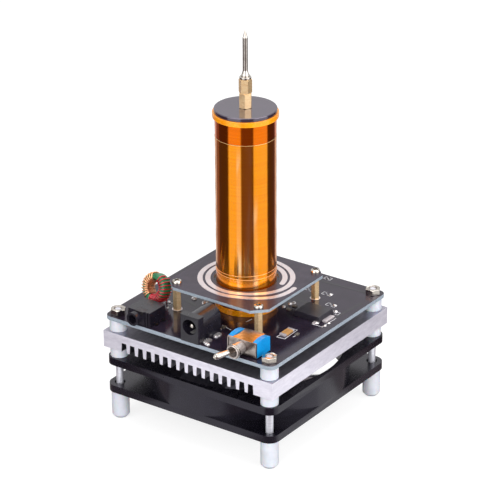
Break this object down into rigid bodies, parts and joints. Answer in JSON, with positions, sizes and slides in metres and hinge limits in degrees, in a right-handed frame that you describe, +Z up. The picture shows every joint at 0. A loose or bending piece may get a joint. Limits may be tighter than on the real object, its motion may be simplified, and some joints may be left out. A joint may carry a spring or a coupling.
{
  "type": "desktop resonant transformer",
  "caption": "Desktop resonant transformer: upright wound coil with a needle on top, driver board with sockets and lever switch, finned heat sink, cooling fan and round feet.",
  "frame": {"origin": "centre of the square stack on the plane that the four feet stand on; the coil stands on this vertical line", "axes": "+Z up along the coil; -Y is the edge with the sockets and the lever; +X is the plain side of the heat sink, square to its fins"},
  "size_m": [0.08, 0.0902, 0.1585],
  "materials": {
    "white_nylon": "satin",
    "stud_steel": "satin",
    "nickel": "polished",
    "fan_black": "satin",
    "brass": "machined",
    "core_steel": "satin",
    "copper_wire": "enamelled",
    "red_wire": "enamelled",
    "circuit_green": "gloss",
    "magnet": "matt",
    "aluminium": "satin",
    "board_black": "gloss",
    "primary_black": "satin",
    "tin": "bright",
    "tube_brown": "gloss",
    "amber_tape": "clear gloss",
    "band_orange": "gloss",
    "cap_black": "high gloss",
    "socket_black": "satin",
    "switch_blue": "gloss",
    "core_green": "painted",
    "chip_cream": "satin",
    "part_grey": "matt"
  },
  "bodies": {
    "base": {"feet": "white_nylon", "clamp_studs": "stud_steel", "fan_frame": "fan_black", "fan_bearing": "brass", "fan_stator": "core_steel", "fan_coils": "copper_wire", "fan_circuit": "circuit_green", "lower_spacers": "white_nylon", "heat_sink": "aluminium", "upper_spacers": "white_nylon", "main_board": "board_black", "board_nuts": "nickel", "board_pads": "tin", "board_standoffs": "brass", "board_screws": "nickel", "primary_board": "primary_black", "primary_track": "tin", "primary_screws": "nickel", "coil_tube": "tube_brown", "coil_winding": "copper_wire", "coil_tape": "amber_tape", "lower_band": "band_orange", "upper_band": "band_orange", "cap_disc": "cap_black", "cap_screw": "nickel", "lower_post": "brass", "upper_post": "brass", "needle_collar": "nickel", "needle": "nickel", "audio_socket": "socket_black", "audio_contacts": "tin", "power_socket": "socket_black", "power_pin": "nickel", "power_lugs": "tin", "switch_body": "switch_blue", "switch_bracket": "nickel", "switch_bushing": "nickel", "switch_ring": "nickel", "switch_pins": "tin", "choke_core": "core_green", "choke_red": "red_wire", "choke_copper": "copper_wire", "power_package": "socket_black", "package_leads": "tin", "chip": "chip_cream", "chip_ends": "tin", "small_parts": "part_grey"},
    "rotor": {"fan_rotor": "fan_black", "fan_yoke": "core_steel", "fan_magnet": "magnet", "fan_shaft": "stud_steel"},
    "lever": {"switch_lever": "nickel"}
  },
  "joints": [
    {"name": "fan_spin", "type": "hinge", "parent": "base", "child": "rotor", "pos_m": [0, 0, 0.0195], "axis": [0, 0, 1], "continuous": true},
    {"name": "switch_throw", "type": "hinge", "parent": "base", "child": "lever", "pos_m": [0.02375, -0.0398, 0.04805], "axis": [0, 0, 1], "range_deg": [0, 34]}
  ]
}
